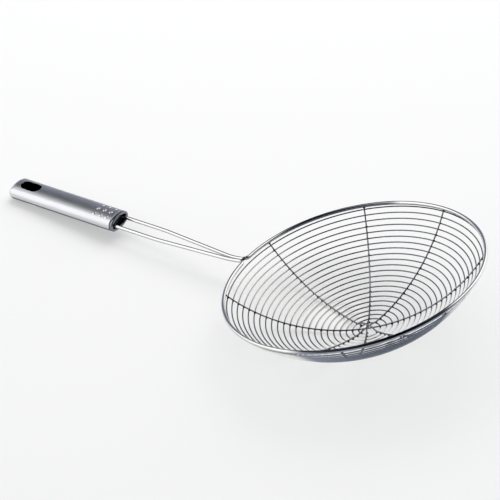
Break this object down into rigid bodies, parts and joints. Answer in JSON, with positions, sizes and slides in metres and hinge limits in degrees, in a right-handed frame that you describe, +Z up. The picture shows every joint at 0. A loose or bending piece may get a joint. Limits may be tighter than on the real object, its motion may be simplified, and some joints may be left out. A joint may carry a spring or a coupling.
{
  "type": "spider skimmer",
  "caption": "Round wire skimmer: a shallow spiral-wound bowl in a wire rim, on two wire legs plugged into a flat oval steel tube handle with a hang hole.",
  "frame": {"origin": "middle of the bounding box at the level of the table that the skimmer lies on, with the bowl's underside and the handle's tail touching it", "axes": "+X from the handle's tail to the bowl, +Y across the bowl, +Z up from the table"},
  "size_m": [0.4226, 0.203, 0.0843],
  "materials": {
    "frame_steel": "bright drawn stainless wire",
    "mesh_steel": "fine stainless wire",
    "cross_steel": "fine stainless wire",
    "handle_steel": "satin stainless tube",
    "ring_steel": "bright turned steel",
    "plug_plastic": "matt dark plug"
  },
  "bodies": {
    "root": {"frame_wire": "frame_steel", "mesh_spiral": "mesh_steel", "cross_wire_1": "cross_steel", "cross_wire_2": "cross_steel", "cross_wire_3": "cross_steel", "cross_wire_4": "cross_steel", "handle_tube": "handle_steel", "mouth_ring": "ring_steel", "wire_plug": "plug_plastic"}
  },
  "joints": []
}
